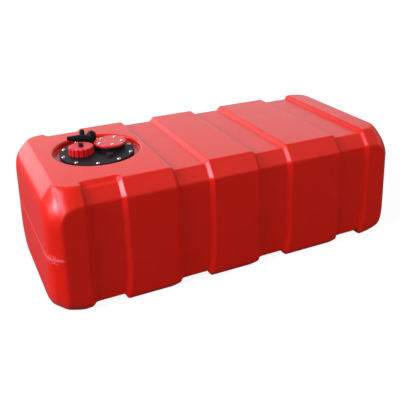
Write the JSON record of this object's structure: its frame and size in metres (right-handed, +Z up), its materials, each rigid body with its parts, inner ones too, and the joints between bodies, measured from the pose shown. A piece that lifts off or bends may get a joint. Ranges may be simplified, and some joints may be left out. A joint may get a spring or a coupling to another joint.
{
  "type": "inboard fuel tank",
  "caption": "Hollow oblong moulded boat fuel tank with bevelled edges, strap grooves and a recessed round plate carrying a screw filler cap, vent, pick-up elbow and sender cover.",
  "frame": {"origin": "middle of the tank's footprint, on the surface it stands on", "axes": "+X along the tank's length, away from the fitting plate; +Y towards the back, the side of the hose tails; +Z up"},
  "size_m": [0.852, 0.4, 0.301],
  "materials": {
    "body_red": "red rotomoulded polyethylene with a fine satin grain",
    "fitting_red": "red injection-moulded polyethylene, satin",
    "fitting_black": "black injection-moulded nylon, satin",
    "seal_rubber": "black fuel-resistant rubber",
    "screw_steel": "bright stainless steel",
    "insert_brass": "turned brass",
    "tube_nylon": "natural nylon tube"
  },
  "bodies": {
    "tank": {"tank_shell": "body_red", "plate_inserts": "insert_brass", "plate_gasket": "seal_rubber", "fitting_plate": "fitting_black", "plate_screws": "screw_steel", "sender_cover": "fitting_red", "sender_gasket": "seal_rubber", "sender_screws": "screw_steel", "sender_inserts": "insert_brass", "fuel_elbow": "fitting_black", "elbow_washer": "seal_rubber", "elbow_nut": "fitting_black", "dip_tube": "tube_nylon", "strainer": "tube_nylon", "vent_spigot": "fitting_black", "vent_washer": "seal_rubber", "return_plug": "fitting_black", "plug_washer": "seal_rubber"},
    "seal": {"cap_seal": "seal_rubber"},
    "cap": {"filler_cap": "fitting_red", "vent_seal": "seal_rubber"},
    "knob": {"vent_knob": "fitting_black"}
  },
  "joints": [
    {"name": "cap_lift", "type": "slide", "parent": "tank", "child": "seal", "axis": [0, 0, 1], "range_m": [0, 0.01]},
    {"name": "cap_turn", "type": "hinge", "parent": "seal", "child": "cap", "pos_m": [-0.2955, 0.012, 0.277], "axis": [0, 0, 1], "range_deg": [0, 720]},
    {"name": "vent_turn", "type": "hinge", "parent": "cap", "child": "knob", "pos_m": [-0.2955, 0.012, 0.2853], "axis": [0, 0, 1], "range_deg": [0, 360]}
  ],
  "couplings": [
    {"joint": "cap_lift", "follows": "cap_turn", "m_per_rad": 0.00079577}
  ]
}
